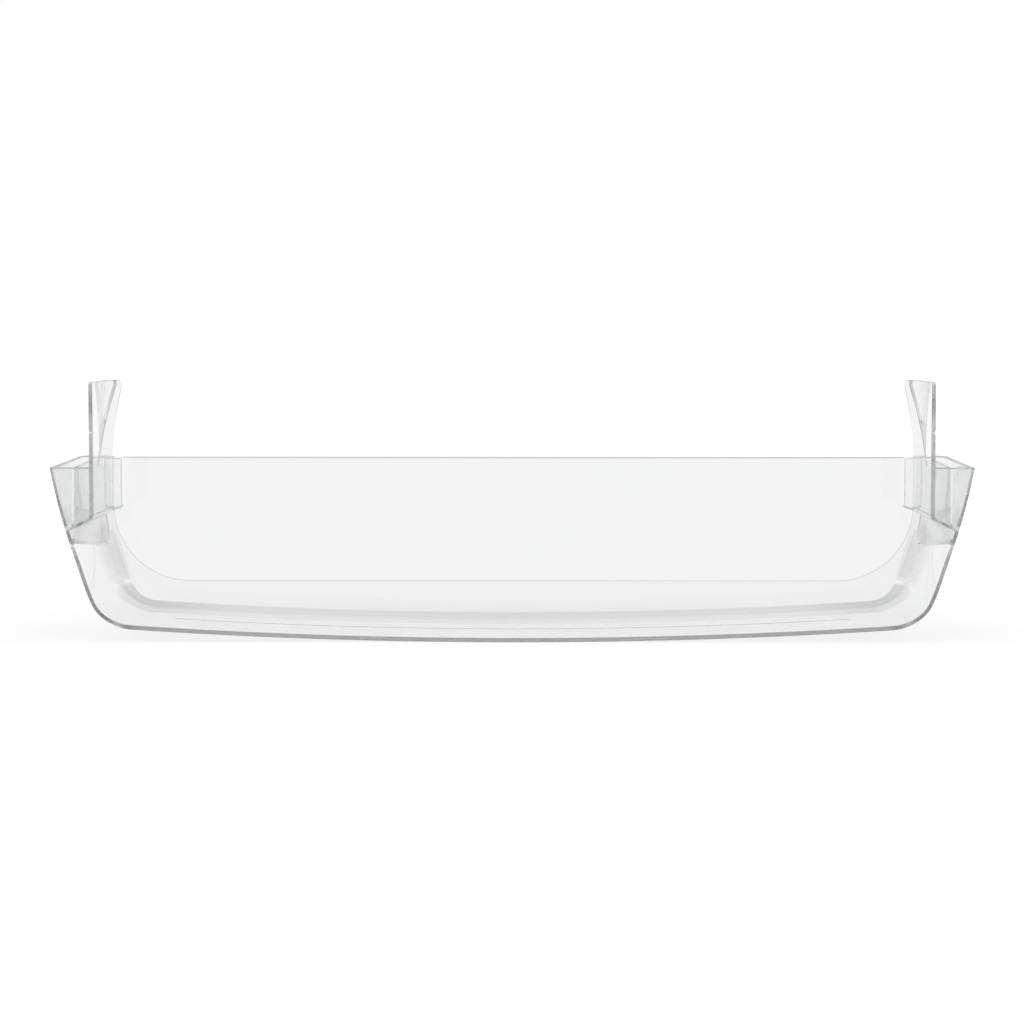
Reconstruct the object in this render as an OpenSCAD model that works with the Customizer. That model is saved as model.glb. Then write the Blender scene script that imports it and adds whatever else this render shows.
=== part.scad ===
// Clear refrigerator door shelf, moulded as one piece.
// X runs along the shelf, Y from the open door side to the front panel, Z up.
// The origin is the middle of the footprint, at the lowest point of the crowned floor.

/* [Tray] */
// Overall width across the rims of the two ends
shelf_w = 480; // [440:1:520]
// Depth from the open door side to the outside of the front panel
shelf_d = 100; // [88:1:120]
// Height of the rim at the door side, over the lowest point of the floor
rim_z = 91; // [84:0.5:98]
// How much higher the rim of the ends is at the front panel
rim_rise = 1.2; // [0.6:0.1:2.4]
// Thickness of the floor, the corners and the ends
shell_t = 2.2; // [1.8:0.1:2.6]
// Radius of the crown of the floor, seen from the door side
floor_r = 3050; // [2600:10:4000]
// Radius of the corner between the floor and each end
corner_r = 25; // [22:0.5:30]
// Radius of the bow of each end
side_r = 310; // [280:5:360]
// Lean of each end at its rim, from upright
side_lean = 10; // [9:0.25:11]
// Outside radius of the long edge between the shell and the front panel
edge_r = 6.5; // [5:0.25:8]

/* [Front panel] */
// Thickness of the front panel
panel_t = 2; // [1.6:0.1:2.4]
// Height of the straight top edge of the front panel
panel_z = 91.5; // [84:0.5:98]
// Height of the foot of the panel's raised window
window_z = 23.5; // [20:0.5:28]
// Distance of the window's upright edges from the outside of the rim
window_in = 18.5; // [17:0.5:26]
// Radius of the lower corners of the window
window_r = 42; // [34:0.5:50]
// How far the window stands in from the rest of the panel
window_step = 0.5; // [0.3:0.05:0.8]

/* [Bead and floor ridge] */
// How far the bead of the door side edge stands in from the shell
bead_h = 1; // [0.6:0.1:1.4]
// Depth of the bead along Y
bead_d = 3; // [2:0.25:5]
// Distance of the floor ridge from the door side edge
ridge_y = 45; // [36:1:54]
// Distance of the ends of the floor ridge from the outside of the rim
ridge_in = 59; // [54:1:90]
// Height of the floor ridge over the floor
ridge_h = 0.7; // [0.4:0.1:1.2]
// Width of the floor ridge
ridge_w = 3; // [2:0.25:5]

/* [End pockets] */
// Height at which the inner end wall leaves the shell
inner_wall_z = 45; // [40:0.5:50]
// Radius with which the inner end wall bends upright
inner_wall_r = 41; // [34:1:48]
// Thickness of the inner end wall
inner_wall_t = 1.8; // [1.4:0.1:2.2]
// Thickness of the plate that closes each pocket at the door side
cover_t = 1.5; // [1.2:0.1:2]
// Height of the pocket's ledge where it leaves the blade
ledge_z = 64.5; // [60:0.5:70]
// Angle at which the ledge falls towards the outside
ledge_fall = 21.5; // [15:0.5:26]
// Radius of the bend between the blade and the ledge
ledge_r = 3; // [2.4:0.1:4]

/* [Mounting blades] */
// Distance of the middle of each blade from the outside of the rim
blade_in = 21.8; // [20.5:0.1:23]
// Thickness of the blade, its bend, the ledge and the ear's wing
blade_t = 2.2; // [1.8:0.1:2.6]
// Depth of the blade, from the door side
blade_d = 71; // [62:0.5:76]
// How far the flange on the blade's far edge reaches in from the blade's middle
flange_w = 5.2; // [4:0.1:7]
// How far the flange reaches out from the blade's middle
flange_out = 3.1; // [2:0.1:4]
// Thickness of the flange and its foot
flange_t = 1.8; // [1.4:0.1:2.2]
// Height of the flange's low corner over the ledge, on the inside
flange_lift = 3; // [2:0.25:5]
// How far the foot of the flange runs on towards the front panel
foot_d = 6; // [4:0.5:8]

/* [Ears] */
// Height of the top of the ears
ear_z = 135.4; // [128:0.2:142]
// Lean of the wing, from upright
wing_lean = 9.1; // [7:0.1:11]
// Height at which the wing starts to lean
wing_z = 97; // [94:0.5:100]
// Distance of the ear's rib from the door side, at the rim
rib_low_y = 16; // [12:0.5:20]
// Distance of the ear's rib from the door side, at its bend
rib_mid_y = 27; // [22:0.5:30]
// Height of the bend in the rib
rib_mid_z = 116; // [110:0.5:122]
// Distance of the ear's rib from the door side, at the top
rib_top_y = 48; // [42:0.5:54]
// Thickness of the rib
rib_t = 1.8; // [1.4:0.1:2.2]
// How far the rib stands in from the blade and the wing
rib_h = 0.8; // [0.4:0.1:1.2]
// Radius of the ear's top corner at the door side
ear_near_r = 3; // [2:0.5:5]
// Radius of the ear's top corner on the wing
ear_far_r = 7; // [5:0.5:9]
// Height of the catch notch in the ear's door side edge
notch_z = 109; // [105:0.5:113]
// Height of the notch's mouth
notch_h = 1.2; // [0.8:0.1:2]
// Depth of the notch
notch_d = 1.5; // [1:0.25:3]

/* [Hidden] */
// Fragments of a full circle: small bends, the bow of the ends, the crown of the floor
bend_fn = 64;
bow_fn = 240;
crown_fn = 720;
// Step, in degrees, of the rounding of the long edge
edge_step = 22.5;
// Small overlap that joins neighbouring walls into one solid
lap = 0.4;
clear_colour = [0.86, 0.9, 0.91, 0.55];

half_w = shelf_w / 2;
tray_top = rim_z + rim_rise;
// Centres of the arcs of the outline, as [x, z]
crown_c = [0, floor_r];
bow_c = [half_w - side_r * cos(side_lean), tray_top + side_r * sin(side_lean)];
corner_c = meet(crown_c, floor_r - corner_r, bow_c, side_r - corner_r);
// Directions, in degrees below +X, where one arc hands over to the next
crown_turn = fall(crown_c, corner_c);
corner_turn = fall(bow_c, corner_c);
foot_turn = asin((bow_c.y - inner_wall_z) / side_r);
edge_in_r = edge_r - shell_t;
// The inner end wall leaves the shell's inner face on an arc about this centre
foot_c = bow_c + (side_r - shell_t - inner_wall_r) * [cos(foot_turn), -sin(foot_turn)];
inner_wall_x = foot_c.x + inner_wall_r;
blade_x = half_w - blade_in;
window_x = half_w - window_in;
// How far the wing's top stands in from the blade
lean_in = (ear_z - wing_z) * tan(wing_lean);
// The bend of the blade's foot, about its own centre
ledge_c = [blade_x + ledge_r, ledge_z + ledge_r];
ledge_p = ledge_c - ledge_r * [sin(ledge_fall), cos(ledge_fall)];

// The point at distance r1 from c1 and r2 from c2 that lies at the greater x
function meet(c1, r1, c2, r2) =
    let (gap = c2 - c1,
         span = norm(gap),
         way = gap / span,
         along = (r1 * r1 - r2 * r2 + span * span) / (2 * span),
         off = sqrt(r1 * r1 - along * along),
         a = c1 + along * way + off * [-way.y, way.x],
         b = c1 + along * way - off * [-way.y, way.x])
    a.x > b.x ? a : b;
// Direction from one point to another, in degrees below +X
function fall(from, to) = atan2(from.y - to.y, to.x - from.x);
// Unit vector of a direction given in degrees below +X
function way(turn) = [cos(turn), -sin(turn)];
// Unit vector square to the line from one point to another
function normal(p, q) = [p.y - q.y, q.x - p.x] / norm(q - p);
// Height of the ledge's middle line at a distance from the middle of the shelf
function ledge_level(x) = ledge_p.y - (x - ledge_p.x) * tan(ledge_fall);

module both_ends() {
    children();
    mirror([1, 0, 0]) children();
}

// The same for a flat outline
module both_sides() {
    children();
    mirror([1, 0]) children();
}

// Turns a flat outline in X and Z into a wall from y0 to y1 behind the door side edge
module across(y0, y1) {
    translate([0, y1 - shelf_d / 2, 0])
        rotate([90, 0, 0])
            linear_extrude(y1 - y0)
                children();
}

// Turns a flat outline in Y and Z into a wall from x0 to x1; y counts from the door side edge
module lengthwise(x0, x1) {
    translate([x0, -shelf_d / 2, 0])
        rotate([90, 0, 90])
            linear_extrude(x1 - x0)
                children();
}

// Carries a section round an arc, between two directions in degrees below +X.
// The section's x is its distance from the centre and its y counts from the door side edge.
module around(centre, from, to, fn) {
    translate([centre.x, -shelf_d / 2, centre.y])
        rotate([-90, 0, 0])
            rotate([0, 0, from])
                rotate_extrude(angle = to - from, $fn = fn)
                    children();
}

// A slice of the plane between two directions, out to a reach
module slice(centre, from, to, reach) {
    polygon([
        centre,
        centre + reach * way(from),
        centre + 1.5 * reach * way((from + to) / 2),
        centre + reach * way(to)
    ]);
}

// Everything inside the outline, moved in by a depth, up to a height
module outline(depth, top) {
    difference() {
        intersection() {
            translate([-half_w, 0]) square([shelf_w, top]);
            translate(crown_c) circle(floor_r - depth, $fn = crown_fn);
            translate(bow_c) circle(side_r - depth, $fn = bow_fn);
            translate([-bow_c.x, bow_c.y]) circle(side_r - depth, $fn = bow_fn);
        }
        both_sides()
            difference() {
                slice(corner_c, corner_turn, crown_turn, 2 * corner_r);
                translate(corner_c) circle(corner_r - depth, $fn = bend_fn);
            }
    }
}

// A block of the outline, moved in by a depth, whose edge at its far end is rounded
module rounded_block(depth, top, y0, y1, r) {
    hull() {
        across(y0, y1 - r) outline(depth, top);
        for (turn = [edge_step:edge_step:90])
            across(y1 - r, y1 - r + r * sin(turn)) outline(depth + r * (1 - cos(turn)), top);
    }
}

// Floor, corners, bowed ends and front panel: one shell, open at the top and the door side
module tray() {
    difference() {
        rounded_block(0, tray_top, 0, shelf_d, edge_r);
        rounded_block(shell_t, tray_top + 1, -1, shelf_d - panel_t, edge_in_r);
        // The straight top edge of the panel lies a little under the ends' rim
        across(shelf_d / 2, shelf_d + 1)
            translate([-inner_wall_x, panel_z]) square([2 * inner_wall_x, shelf_w]);
    }
}

// The stiffening bead of the door side edge, from one end's pocket to the other's
module bead() {
    across(0, bead_d)
        difference() {
            outline(shell_t - lap, inner_wall_z);
            outline(shell_t + bead_h, inner_wall_z + 1);
        }
}

// The raised window on the inside of the front panel
module window() {
    across(shelf_d - panel_t - window_step, shelf_d - panel_t + lap)
        intersection() {
            outline(edge_r + edge_in_r, panel_z);
            window_outline();
        }
}

// The window: a straight foot, round lower corners and upright edges
module window_outline() {
    both_sides() {
        translate([window_x - window_r, window_z + window_r])
            circle(window_r, $fn = 2 * bend_fn);
        translate([0, window_z]) square([window_x - window_r, panel_z]);
        translate([0, window_z + window_r]) square([window_x, panel_z]);
    }
}

// The long low ridge across the floor
module floor_ridge() {
    reach = asin((half_w - ridge_in) / floor_r);
    around(crown_c, 90 - reach, 90 + reach, crown_fn)
        translate([floor_r - shell_t - ridge_h, ridge_y - ridge_w / 2])
            square([ridge_h + lap, ridge_w]);
}

// The inner end wall, which leaves the shell on a bend and runs upright to the rim
module inner_wall() {
    across(0, shelf_d - panel_t + lap) {
        intersection() {
            translate(foot_c)
                difference() {
                    circle(inner_wall_r + inner_wall_t, $fn = bow_fn);
                    circle(inner_wall_r, $fn = bow_fn);
                }
            slice(foot_c, 0, foot_turn + 1, inner_wall_r + 4 * shell_t);
        }
        translate([inner_wall_x, foot_c.y - lap])
            square([inner_wall_t, tray_top - foot_c.y + lap]);
    }
    // Round inside edge between this wall and the front panel
    around(foot_c, 0, foot_turn, bow_fn)
        translate([inner_wall_r, shelf_d - panel_t]) inside_edge();
    translate([inner_wall_x, shelf_d / 2 - panel_t, foot_c.y])
        linear_extrude(tray_top - foot_c.y)
            inside_edge();
}

// Section of a round inside edge, whose corner lies at the origin
module inside_edge() {
    difference() {
        translate([-edge_in_r, -edge_in_r]) square(edge_in_r + lap);
        translate([-edge_in_r, -edge_in_r]) circle(edge_in_r, $fn = bend_fn);
        translate([-2 * edge_in_r, -edge_in_r]) square([edge_in_r, 2 * edge_in_r]);
        translate([-edge_in_r, -2 * edge_in_r]) square([2 * edge_in_r, edge_in_r]);
    }
}

// The bend of the blade's foot, and the ledge that closes the pocket from below
module ledge() {
    across(0, blade_d) {
        intersection() {
            translate(ledge_c)
                difference() {
                    circle(ledge_r + blade_t / 2, $fn = bend_fn);
                    circle(ledge_r - blade_t / 2, $fn = bend_fn);
                }
            slice(ledge_c, 90 + ledge_fall, 180, 3 * ledge_r);
        }
        intersection() {
            outline(lap, tray_top);
            translate(ledge_p)
                rotate(-ledge_fall)
                    translate([-lap / 2, -blade_t / 2])
                        square([blade_in, blade_t]);
        }
    }
}

// The plate that closes the pocket at the door side
module pocket_cover() {
    across(0, cover_t)
        intersection() {
            outline(lap, tray_top);
            polygon([
                [blade_x, tray_top],
                [blade_x, ledge_c.y],
                ledge_p,
                [half_w, ledge_level(half_w)],
                [half_w, tray_top]
            ]);
        }
}

// The flange on the blade's far edge, and the foot that it carries
module flange() {
    outer_p = [blade_x + flange_out, ledge_z];
    inner_p = [blade_x - flange_w, ledge_z + flange_lift];
    across(blade_d - flange_t, blade_d)
        polygon([outer_p, [outer_p.x, tray_top], [inner_p.x, tray_top], inner_p]);
    across(blade_d - lap, blade_d + foot_d)
        polygon([outer_p, outer_p + [0, flange_t], inner_p + [0, flange_t], inner_p]);
}

// Outline of the blade and its ear in Y and Z, up from a height to the round top corners
module blade_outline(low) {
    difference() {
        union() {
            translate([ear_near_r, low])
                square([blade_d - ear_near_r - ear_far_r, ear_z - low]);
            translate([0, low]) square([blade_d / 2, ear_z - ear_near_r - low]);
            translate([blade_d / 2, low]) square([blade_d / 2, ear_z - ear_far_r - low]);
            translate([ear_near_r, ear_z - ear_near_r]) circle(ear_near_r, $fn = bend_fn);
            translate([blade_d - ear_far_r, ear_z - ear_far_r])
                circle(ear_far_r, $fn = bend_fn);
        }
        polygon([
            [-lap, notch_z - notch_h / 2],
            [notch_d, notch_z],
            [-lap, notch_z + notch_h / 2]
        ]);
    }
}

// Everything on the door side of the ear's rib, in Y and Z
module before_rib() {
    polygon([
        [0, rim_z],
        [rib_low_y, rim_z],
        [rib_mid_y, rib_mid_z],
        [rib_top_y, ear_z],
        [0, ear_z]
    ]);
}

// The upright plate: the whole blade up to the wing, and the ear on the door side of its rib
module blade() {
    lengthwise(blade_x - blade_t / 2, blade_x + blade_t / 2) {
        translate([0, ledge_c.y]) square([blade_d, wing_z - ledge_c.y]);
        intersection() {
            blade_outline(rim_z);
            before_rib();
        }
    }
}

// Outline of the rib in Y and Z: two straight legs that meet in a mitre
module rib_outline() {
    low = [rib_low_y, rim_z];
    mid = [rib_mid_y, rib_mid_z];
    high = [rib_top_y, ear_z];
    side_a = rib_t / 2 * normal(low, mid);
    side_b = rib_t / 2 * normal(mid, high);
    side_m = (side_a + side_b) / (1 + side_a * side_b / (rib_t * rib_t / 4));
    polygon([
        low + side_a, mid + side_m, high + side_b,
        high - side_b, mid - side_m, low - side_a
    ]);
}

// The leaning wing: the ear beyond its rib, which leaves the blade at the wing's foot
module wing() {
    intersection() {
        across(0, blade_d)
            polygon([
                [blade_x + blade_t / 2, wing_z],
                [blade_x + blade_t / 2 - lean_in, ear_z],
                [blade_x - blade_t / 2 - lean_in, ear_z],
                [blade_x - blade_t / 2, wing_z]
            ]);
        lengthwise(blade_x - blade_t - lean_in, blade_x + blade_t)
            difference() {
                blade_outline(wing_z - 1);
                before_rib();
            }
    }
}

// The rib that bridges the step between the upright plate and the wing
module ear_rib() {
    foot_x = blade_x - blade_t / 2 - rib_h;
    intersection() {
        lengthwise(foot_x - lean_in - lap, blade_x + blade_t / 2) rib_outline();
        across(0, shelf_d)
            polygon([
                [blade_x + blade_t / 2, rim_z],
                [blade_x + blade_t / 2, ear_z],
                [foot_x - lean_in, ear_z],
                [foot_x, wing_z],
                [foot_x, rim_z]
            ]);
    }
}

// What the sloping rim of the ends leaves off
module over_the_rim() {
    translate([-shelf_w, -shelf_d / 2, rim_z])
        rotate([atan(rim_rise / shelf_d), 0, 0])
            translate([0, -shelf_d, 0])
                cube([2 * shelf_w, 3 * shelf_d, shelf_d]);
}

module door_shelf() {
    color(clear_colour) {
        difference() {
            union() {
                tray();
                bead();
                both_ends() {
                    inner_wall();
                    pocket_cover();
                }
            }
            over_the_rim();
        }
        window();
        floor_ridge();
        both_ends() {
            blade();
            ledge();
            flange();
            wing();
            ear_rib();
        }
    }
}

door_shelf();
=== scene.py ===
import math

import bmesh
import bpy
from mathutils import Matrix, Vector


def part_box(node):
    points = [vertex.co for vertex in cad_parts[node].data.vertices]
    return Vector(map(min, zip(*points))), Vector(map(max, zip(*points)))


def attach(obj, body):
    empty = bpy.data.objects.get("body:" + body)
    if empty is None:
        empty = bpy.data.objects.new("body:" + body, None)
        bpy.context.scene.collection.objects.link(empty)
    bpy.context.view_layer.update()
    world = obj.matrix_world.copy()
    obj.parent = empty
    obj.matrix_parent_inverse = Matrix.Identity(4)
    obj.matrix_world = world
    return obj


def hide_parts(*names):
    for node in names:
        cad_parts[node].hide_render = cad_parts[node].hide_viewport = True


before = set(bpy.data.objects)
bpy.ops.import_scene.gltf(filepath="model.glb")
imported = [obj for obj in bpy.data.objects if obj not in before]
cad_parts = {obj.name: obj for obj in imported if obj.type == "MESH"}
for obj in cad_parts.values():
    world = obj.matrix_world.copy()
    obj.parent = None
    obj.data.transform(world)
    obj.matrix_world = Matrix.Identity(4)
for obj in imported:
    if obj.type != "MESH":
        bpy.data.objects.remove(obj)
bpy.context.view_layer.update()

NODE = "door_shelf"
MM = 0.001
LOW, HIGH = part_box(NODE)

# Overall sizes come from the frame, in millimetres. Depth counts from the open door side edge.
HALF_W = HIGH.x / MM
DEPTH = (HIGH.y - LOW.y) / MM
EAR_Z = HIGH.z / MM

# Tray: its walls, the crowned floor, the bowed ends and the round corner between them
RIM_Z = 91.0
RIM_RISE = 1.8
SHELL_T = 2.2
END_T = 1.8
PANEL_T = 2.0
PANEL_Z = 92.1
PANEL_STEP = 1.0
FLOOR_R = 3050.0
CORNER_R = 23.5
SIDE_R = 310.0
SIDE_LEAN = math.radians(10)
EDGE_R_FLOOR = 6.5
EDGE_R_SIDE = 7.7

# The lower ends stand out from the plain arc. The bulge grows and fades between these heights.
BELLY = 1.15
BELLY_LOW = 6.0
BELLY_FULL = 16.0
BELLY_MID = 20.0
BELLY_TOP = 45.0

# Bead inside the door side edge: its depths, and the shares of the end where it starts and grows
BEAD_H = 0.15
BEAD_FULL = 1.6
BEAD_D = 3.0
BEAD_END = 4.6
BEAD_FROM = 0.6
BEAD_OVER = 0.2

# Window inside the front panel, and the ridge across the floor
WINDOW_Z = 23.5
WINDOW_IN = 18.5
WINDOW_R = 42.0
WINDOW_STEP = 0.5
WINDOW_SLOPE = 0.8
WINDOW_DROP = 0.4
RIDGE_Y = 45.0
RIDGE_W = 3.0
RIDGE_H = 0.15
RIDGE_IN = 59.0

# The shell is thinner beside the pocket, from one height to the other
POCKET_WALL_T = 1.3
POCKET_LOW = 58.0
POCKET_FULL = 68.0

# Near the front panel the inside of the end comes further in, between these heights
GROWTH_LOW = 12.0
GROWTH_TOP = 52.0
GROWTH_FADE = 8.0
GROWTH_Y = 91.5

# Inner end wall: its thickness, and the run of its inner face at the door side and at the panel
INNER_WALL_Z = 45.0
INNER_WALL_R = 41.0
INNER_WALL_T = 1.1
INNER_START = 0.9
NEAR_WALL_X = 227.2
NEAR_FOOT_X = 227.6
NEAR_FOOT_Z = 51.3
FAR_WALL_X = 228.1
FAR_WALL_TOP = 91.7
FAR_WALL_R = 203.0
FAR_FOOT_Z = 43.6
FILLET_R = 4.3

# Pocket: its cover, and the ledge that slopes from the blade to the shell
COVER_T = 1.5
COVER_IN = 0.4
COVER_DROP = 0.7
LEDGE_Z = 63.35
LEDGE_FALL = math.radians(25.5)
LEDGE_R = 3.0
LEDGE_T = 1.5
LEDGE_MEET_Z = 46.0
LEDGE_END_IN = 12.0

# Blade, its flange with the foot below it, and the bead on the corner between them
BLADE_IN = 21.8
BLADE_T = 2.2
BLADE_D = 71.0
BLADE_TAPER = 0.5
FLANGE_W = 5.2
FLANGE_OUT = 3.1
FLANGE_T = 1.8
FLANGE_LIFT = 2.9
FLANGE_LAP = 0.4
FLANGE_DROP = 0.3
FOOT_Z = 62.9
FOOT_T = 1.2
FOOT_D = 6.0
CORNER_BEAD_LIFT = 4.0
CORNER_BEAD_LAP = 0.4
CORNER_BEAD_OUT = 0.45
CORNER_BEAD_NEAR = 1.0
CORNER_BEAD_FAR = 0.1

# Ear: its corners, the notch, and the wing that leans in beyond the rib and curls at its top
EAR_NEAR_R = 3.0
EAR_FAR_R = 7.0
NOTCH_Z = 109.0
NOTCH_H = 1.8
NOTCH_D = 1.5
NOTCH_SLOPE = 0.2
WING_LEAN = math.radians(9.1)
WING_Z = 97.0
WING_FOOT_Z = 95.0
WING_SUNK = 1.0
WING_LAP = 0.3
WING_POWER = 1.6
CURL = 1.4
CURL_H = 3.0

# The thin wall that bridges the step to the wing, the thickened top edges, and the slanting rib
WEB_T = 0.9
WEB_DROP = 0.4
WEB_IN = 0.3
WEB_OUT = 0.1
CAP_H = 0.7
CAP_LAP = 0.4
CAP_OUT = 0.15
WEB_CAP_IN = 0.8
WEB_CAP_OUT = 0.1
RIB_T = 0.75
RIB_H = 0.35
RIB_LAP = 0.4
RIB_SLANT = 1.18
RIB_LINE = ((17.0, 90.7), (25.0, 99.7), (29.5, 108.0), (35.6, 117.4), (42.5, 126.8), (48.0, 135.4))

# Rounding of the free edges
TRAY_ROUND = 0.5
BLADE_ROUND = 0.4
FLANGE_ROUND = 0.35
RIB_ROUND = 0.3
RIDGE_ROUND = 0.12
ROUND_ANGLE = math.radians(40)
ROUND_STEPS = 2

# How far joined pieces reach into each other, how close counts as touching, and the length
# below which an edge is a sliver
LAP = 0.5
TOUCH = 0.01
SHORT_EDGE = 0.02

# Columns of the tray on one half: along the bowed end, round the corner and along the crown.
# The end's first column bounds a strip below the rim, by its share of the end's rough length.
END_STEPS = 22
BEND_STEPS = 16
CROWN_STEPS = 22
COLUMNS = END_STEPS + BEND_STEPS + CROWN_STEPS + 1
RIM_STRIP_H = 1.0
END_LENGTH = 70.0

# Rows of the tray: depths on the shell, steps round the long edge and shares up the panel
WALL_ROWS = (0.0, 0.8, BEAD_FULL, BEAD_D, BEAD_END, 9.0, 18.0, 30.0, 43.0, 56.0, 69.0, 80.0, 87.0)
ARC_STEPS = 8
PANEL_ROWS = (0.06, 0.3, 0.6, 0.85, 0.987, 1.0)
SAME_POINT_DIGITS = 5

# Steps of the other pieces
INNER_DEPTHS = 12
FILLET_STEPS = 6
INNER_LEVELS = 23
INNER_FOOT_SHARE = 0.014
INNER_TOP_SHARE = 0.976
COVER_STEPS = 10
LEDGE_STEPS = 8
BLADE_LEVELS = 10
NEAR_CORNER_STEPS = 6
WING_LEVELS = 22
CURL_LEVELS = 5
WING_STOPS = 7
RIB_LEVELS = 20
WINDOW_STEPS = 28
RIDGE_STEPS = 30


def fall(a, b):
    """Direction from one point to another, in radians below +X."""
    return math.atan2(a[1] - b[1], b[0] - a[0])


def way(turn):
    """Unit vector of a direction given in radians below +X."""
    return Vector((math.cos(turn), -math.sin(turn)))


def meet(c1, r1, c2, r2):
    """The point at distance r1 from c1 and r2 from c2 that lies at the greater x."""
    gap = c2 - c1
    span = gap.length
    ahead = gap / span
    along = (r1 * r1 - r2 * r2 + span * span) / (2 * span)
    off = math.sqrt(r1 * r1 - along * along)
    side = Vector((-ahead.y, ahead.x))
    found = [c1 + along * ahead + s * off * side for s in (1, -1)]
    return max(found, key=lambda p: p.x)


TRAY_TOP = RIM_Z + RIM_RISE
CROWN_C = Vector((0, FLOOR_R))
BOW_C = Vector((HALF_W - SIDE_R * math.cos(SIDE_LEAN), TRAY_TOP + SIDE_R * math.sin(SIDE_LEAN)))
CORNER_C = meet(CROWN_C, FLOOR_R - CORNER_R, BOW_C, SIDE_R - CORNER_R)
CROWN_TURN = fall(CROWN_C, CORNER_C)
CORNER_TURN = fall(BOW_C, CORNER_C)
FOOT_TURN = math.asin((BOW_C.y - INNER_WALL_Z) / SIDE_R)
FOOT_C = BOW_C + (SIDE_R - SHELL_T - INNER_WALL_R) * way(FOOT_TURN)
INNER_WALL_X = FOOT_C.x + INNER_WALL_R
BLADE_X = HALF_W - BLADE_IN
WINDOW_X = HALF_W - WINDOW_IN
LEAN_IN = (EAR_Z - WING_Z) * math.tan(WING_LEAN)
LEDGE_C = Vector((BLADE_X + LEDGE_R, LEDGE_Z + LEDGE_R))
LEDGE_P = LEDGE_C - LEDGE_R * Vector((math.sin(LEDGE_FALL), math.cos(LEDGE_FALL)))

# Zones of the surface, each with its own painted shade or light and its haze
(FACE, EDGE, END_ROUND, CORNER_ROUND, FLOOR_ROUND, RIM_EDGE, RIM_TOP, SHELL_EDGE, FLOOR_EDGE,
 BLADE_FACE, EAR_FACE, BLADE_EDGE, WING_EDGE, RIB, LEDGE_FACE, LEDGE_EDGE, RIDGE, WINDOW_EDGE,
 AROUND, INNER_WALL, INNER_ROUND, PAINTED_BRIGHT, FOOT) = range(23)


def clamp(value):
    """The value, kept between 0 and 1."""
    return min(1.0, max(0.0, value))


def smooth(value, start, stop):
    """Rises from 0 to 1 between two values, with a soft start and a soft end."""
    share = clamp((value - start) / (stop - start))
    return share * share * (3 - 2 * share)


def belly(z):
    """How much the lower part of the ends stands out from the plain arcs."""
    return BELLY * (1 - smooth(z, BELLY_MID, BELLY_TOP)) * smooth(z, BELLY_LOW, BELLY_FULL)


def end_share(column):
    """Share of the bowed end's length at a column."""
    if column == 0:
        return 0.0
    strip = RIM_STRIP_H / END_LENGTH
    return strip + (1 - strip) * (column - 1) / (END_STEPS - 1)


def half_outline(insets, top):
    """Points of the right half of the outline, each moved in, from the rim down to the middle."""
    points = []
    for c, inset in enumerate(insets):
        if c < END_STEPS:
            rim_turn = math.asin((BOW_C.y - top) / (SIDE_R - inset))
            turn = rim_turn + (CORNER_TURN - rim_turn) * end_share(c)
            points.append(BOW_C + (SIDE_R - inset) * way(turn))
        elif c < END_STEPS + BEND_STEPS:
            turn = CORNER_TURN + (CROWN_TURN - CORNER_TURN) * (c - END_STEPS) / BEND_STEPS
            points.append(CORNER_C + (CORNER_R - inset) * way(turn))
        else:
            share = (c - END_STEPS - BEND_STEPS) / CROWN_STEPS
            turn = CROWN_TURN + (math.pi / 2 - CROWN_TURN) * share
            points.append(CROWN_C + (FLOOR_R - inset) * way(turn))
        points[-1].x += belly(points[-1].y)
    return points


def rim_level(y):
    """Height of the rim, which rises a little towards the panel."""
    return RIM_Z + RIM_RISE * y / DEPTH


def mesh_object(name, verts, faces):
    """A closed mesh from points in millimetres, with all its faces turned outwards."""
    mesh = bpy.data.meshes.new(name)
    mesh.from_pydata([Vector((x, y - DEPTH / 2, z)) * MM for x, y, z in verts], [], faces)
    mesh.validate()
    bm = bmesh.new()
    bm.from_mesh(mesh)
    bmesh.ops.recalc_face_normals(bm, faces=bm.faces)
    if bm.calc_volume(signed=True) < 0:
        bmesh.ops.reverse_faces(bm, faces=bm.faces)
    bm.to_mesh(mesh)
    bm.free()
    obj = bpy.data.objects.new(name, mesh)
    bpy.context.scene.collection.objects.link(obj)
    return obj


def apply_modifiers(obj):
    """Gives a piece the mesh that its modifiers make of it."""
    bpy.context.view_layer.update()
    graph = bpy.context.evaluated_depsgraph_get()
    mesh = bpy.data.meshes.new_from_object(obj.evaluated_get(graph))
    obj.modifiers.clear()
    obj.data = mesh


def zone_layer(obj):
    """The zone numbers of a piece's faces, all FACE at first."""
    layer = obj.data.attributes.get("zone")
    return layer or obj.data.attributes.new("zone", "INT", "FACE")


def mark(obj, zone, where=None):
    """Writes a zone number on the faces of a piece, or on those that a test picks."""
    layer = zone_layer(obj)
    for face in obj.data.polygons:
        if where is None or where(face.center / MM, face.normal):
            layer.data[face.index].value = zone


def mark_unmarked(obj, zone):
    """Writes a zone number on the faces that have none yet."""
    layer = zone_layer(obj)
    for face in obj.data.polygons:
        if layer.data[face.index].value == FACE:
            layer.data[face.index].value = zone


def round_edges(obj, width):
    """Rounds the free edges, and marks the new faces as rounded edges."""
    zone_layer(obj)
    obj.data.materials.clear()
    for name in ("face", "edge"):
        obj.data.materials.append(bpy.data.materials.get(name) or bpy.data.materials.new(name))
    bevel = obj.modifiers.new("round", "BEVEL")
    bevel.material = 1
    bevel.width = width * MM
    bevel.segments = ROUND_STEPS
    bevel.limit_method = "ANGLE"
    bevel.angle_limit = ROUND_ANGLE
    bevel.harden_normals = False
    apply_modifiers(obj)
    layer = zone_layer(obj)
    for face in obj.data.polygons:
        if face.material_index == 1:
            layer.data[face.index].value = EDGE
        face.material_index = 0
    obj.data.materials.clear()


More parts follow.
